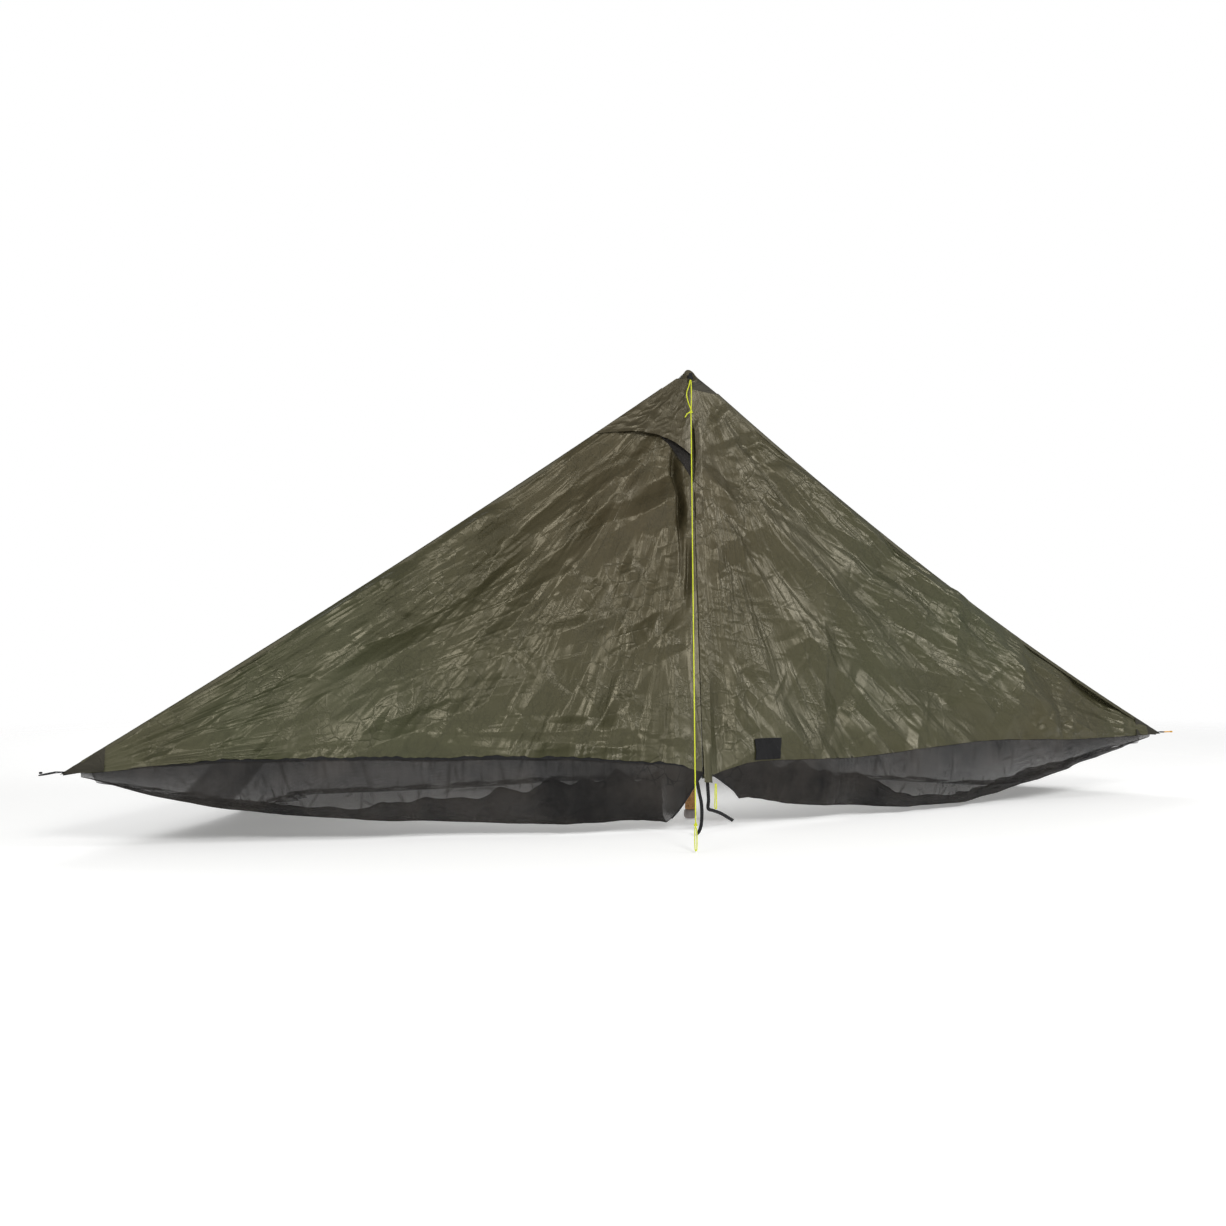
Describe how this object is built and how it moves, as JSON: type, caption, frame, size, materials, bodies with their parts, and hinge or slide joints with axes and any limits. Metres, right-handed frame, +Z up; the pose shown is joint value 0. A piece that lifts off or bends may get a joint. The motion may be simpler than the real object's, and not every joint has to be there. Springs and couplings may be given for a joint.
{
  "type": "camping tarp",
  "caption": "Pyramid tarp with netting skirt, zipped front doors, peak vent and front guyline, pitched on a folding trekking pole that stands handle down.",
  "frame": {"origin": "on the ground, in the middle of the face that the pole stands on", "axes": "+X along the ridge to the right end seen from the doors, +Y to the rear, +Z up"},
  "size_m": [3.4488, 1.8341, 1.2575],
  "materials": {
    "left_end_panel": "silicone-coated ripstop nylon, half gloss",
    "rear_left_panel": "silicone-coated ripstop nylon, half gloss",
    "rear_right_panel": "silicone-coated ripstop nylon, half gloss",
    "right_end_panel": "silicone-coated ripstop nylon, half gloss",
    "left_end_netting": "fine knitted insect netting, matt",
    "rear_left_netting": "fine knitted insect netting, matt",
    "rear_right_netting": "fine knitted insect netting, matt",
    "right_end_netting": "fine knitted insect netting, matt",
    "perimeter_hem_tape": "woven tape, matt",
    "left_upper_front_panel": "silicone-coated ripstop nylon, half gloss",
    "right_upper_front_panel": "silicone-coated ripstop nylon, half gloss",
    "peak_cap": "heavier coated nylon, half gloss",
    "peak_grommet": "black",
    "vent_netting": "fine knitted insect netting, matt",
    "vent_hood": "silicone-coated ripstop nylon, half gloss",
    "left_patch": "heavier coated nylon, half gloss",
    "rear_left_patch": "heavier coated nylon, half gloss",
    "rear_mid_patch": "heavier coated nylon, half gloss",
    "rear_right_patch": "heavier coated nylon, half gloss",
    "right_patch": "heavier coated nylon, half gloss",
    "left_cord_loop": "braided cord",
    "rear_left_cord_loop": "braided high-visibility cord",
    "rear_mid_cord_loop": "braided high-visibility cord",
    "rear_right_cord_loop": "braided high-visibility cord",
    "right_cord_loop": "braided cord",
    "left_pull_out_tab": "woven tape, matt",
    "right_pull_out_tab": "woven tape, matt",
    "upper_storm_flap": "silicone-coated ripstop nylon, half gloss",
    "peak_webbing": "woven tape, matt",
    "guyline_peak_loop": "braided high-visibility cord",
    "guyline_knot": "braided high-visibility cord",
    "guyline": "braided high-visibility cord",
    "guyline_ground_loop": "braided high-visibility cord",
    "left_door_panel": "silicone-coated ripstop nylon, half gloss",
    "left_door_hem_tape": "woven tape, matt",
    "left_zip_tape": "woven tape, matt",
    "left_door_netting": "fine knitted insect netting, matt",
    "left_ribbon_tie": "woven tape, matt",
    "right_door_panel": "silicone-coated ripstop nylon, half gloss",
    "right_door_hem_tape": "woven tape, matt",
    "right_zip_tape": "woven tape, matt",
    "right_door_netting": "fine knitted insect netting, matt",
    "right_ribbon_tie": "woven tape, matt",
    "label_patch": "woven tape, matt",
    "door_pull_loop": "braided high-visibility cord",
    "storm_flap": "silicone-coated ripstop nylon, half gloss",
    "zip_slider": "black enamel",
    "zip_pull": "moulded",
    "pole_tip": "moulded",
    "pole_lower_tube": "anodised",
    "pole_middle_tube": "anodised",
    "middle_clamp_collar": "moulded",
    "middle_clamp_pin": "bare",
    "pole_upper_tube": "anodised",
    "cork_grip": "cork",
    "grip_cap": "moulded",
    "upper_clamp_collar": "moulded",
    "upper_clamp_pin": "bare",
    "middle_clamp_lever": "moulded",
    "upper_clamp_lever": "moulded"
  },
  "bodies": {
    "canopy": {"left_end_panel": "left_end_panel", "rear_left_panel": "rear_left_panel", "rear_right_panel": "rear_right_panel", "right_end_panel": "right_end_panel", "left_end_netting": "left_end_netting", "rear_left_netting": "rear_left_netting", "rear_right_netting": "rear_right_netting", "right_end_netting": "right_end_netting", "perimeter_hem_tape": "perimeter_hem_tape", "left_upper_front_panel": "left_upper_front_panel", "right_upper_front_panel": "right_upper_front_panel", "peak_cap": "peak_cap", "peak_grommet": "peak_grommet", "vent_netting": "vent_netting", "vent_hood": "vent_hood", "left_patch": "left_patch", "rear_left_patch": "rear_left_patch", "rear_mid_patch": "rear_mid_patch", "rear_right_patch": "rear_right_patch", "right_patch": "right_patch", "left_cord_loop": "left_cord_loop", "rear_left_cord_loop": "rear_left_cord_loop", "rear_mid_cord_loop": "rear_mid_cord_loop", "rear_right_cord_loop": "rear_right_cord_loop", "right_cord_loop": "right_cord_loop", "left_pull_out_tab": "left_pull_out_tab", "right_pull_out_tab": "right_pull_out_tab", "upper_storm_flap": "upper_storm_flap", "peak_webbing": "peak_webbing", "guyline_peak_loop": "guyline_peak_loop", "guyline_knot": "guyline_knot", "guyline": "guyline", "guyline_ground_loop": "guyline_ground_loop"},
    "left_door": {"left_door_panel": "left_door_panel", "left_door_hem_tape": "left_door_hem_tape", "left_zip_tape": "left_zip_tape", "left_door_netting": "left_door_netting", "left_ribbon_tie": "left_ribbon_tie"},
    "right_door": {"right_door_panel": "right_door_panel", "right_door_hem_tape": "right_door_hem_tape", "right_zip_tape": "right_zip_tape", "right_door_netting": "right_door_netting", "right_ribbon_tie": "right_ribbon_tie", "label_patch": "label_patch", "door_pull_loop": "door_pull_loop"},
    "storm_flap": {"storm_flap": "storm_flap"},
    "zip_slider": {"zip_slider": "zip_slider"},
    "zip_pull": {"zip_pull": "zip_pull"},
    "pole_lower": {"pole_tip": "pole_tip", "pole_lower_tube": "pole_lower_tube"},
    "pole_middle": {"pole_middle_tube": "pole_middle_tube", "middle_clamp_collar": "middle_clamp_collar", "middle_clamp_pin": "middle_clamp_pin"},
    "pole_upper": {"pole_upper_tube": "pole_upper_tube", "cork_grip": "cork_grip", "grip_cap": "grip_cap", "upper_clamp_collar": "upper_clamp_collar", "upper_clamp_pin": "upper_clamp_pin"},
    "middle_lever": {"middle_clamp_lever": "middle_clamp_lever"},
    "upper_lever": {"upper_clamp_lever": "upper_clamp_lever"}
  },
  "joints": [
    {"name": "left_door_swing", "type": "hinge", "parent": "canopy", "child": "left_door", "pos_m": [-0.02509, -0.07476, 0.93], "axis": [-0.9108, 0.0413, -0.4107], "range_deg": [0, 22]},
    {"name": "right_door_swing", "type": "hinge", "parent": "canopy", "child": "right_door", "pos_m": [-0.02509, -0.07476, 0.93], "axis": [-0.9154, -0.0403, 0.4006], "range_deg": [0, 95]},
    {"name": "flap_fold", "type": "hinge", "parent": "right_door", "child": "storm_flap", "pos_m": [0.00199, -0.07587, 0.91614], "axis": [0.0746, 0.2223, 0.9721], "range_deg": [0, 150]},
    {"name": "zip_slide", "type": "slide", "parent": "right_door", "child": "zip_slider", "axis": [0.0746, 0.2223, 0.9721], "range_m": [0, 0.72]},
    {"name": "pull_swing", "type": "hinge", "parent": "zip_slider", "child": "zip_pull", "pos_m": [-0.08041, -0.24596, 0.16272], "axis": [0.988, 0.1154, -0.1022], "range_deg": [-10, 110]},
    {"name": "pole_lean", "type": "hinge", "parent": "canopy", "child": "pole_lower", "pos_m": [0, 0, 1.234], "axis": [1, 0, 0], "range_deg": [0, 20]},
    {"name": "middle_slide", "type": "slide", "parent": "pole_lower", "child": "pole_middle", "axis": [0, 0, 1], "range_m": [0, 0.28]},
    {"name": "grip_slide", "type": "slide", "parent": "pole_middle", "child": "pole_upper", "axis": [0, 0, 1], "range_m": [0, 0.3]},
    {"name": "middle_lever_turn", "type": "hinge", "parent": "pole_middle", "child": "middle_lever", "pos_m": [0, -0.0144, 0.858], "axis": [0, 0, -1], "range_deg": [0, 110]},
    {"name": "upper_lever_turn", "type": "hinge", "parent": "pole_upper", "child": "upper_lever", "pos_m": [0, -0.0155, 0.498], "axis": [0, 0, -1], "range_deg": [0, 110]}
  ]
}
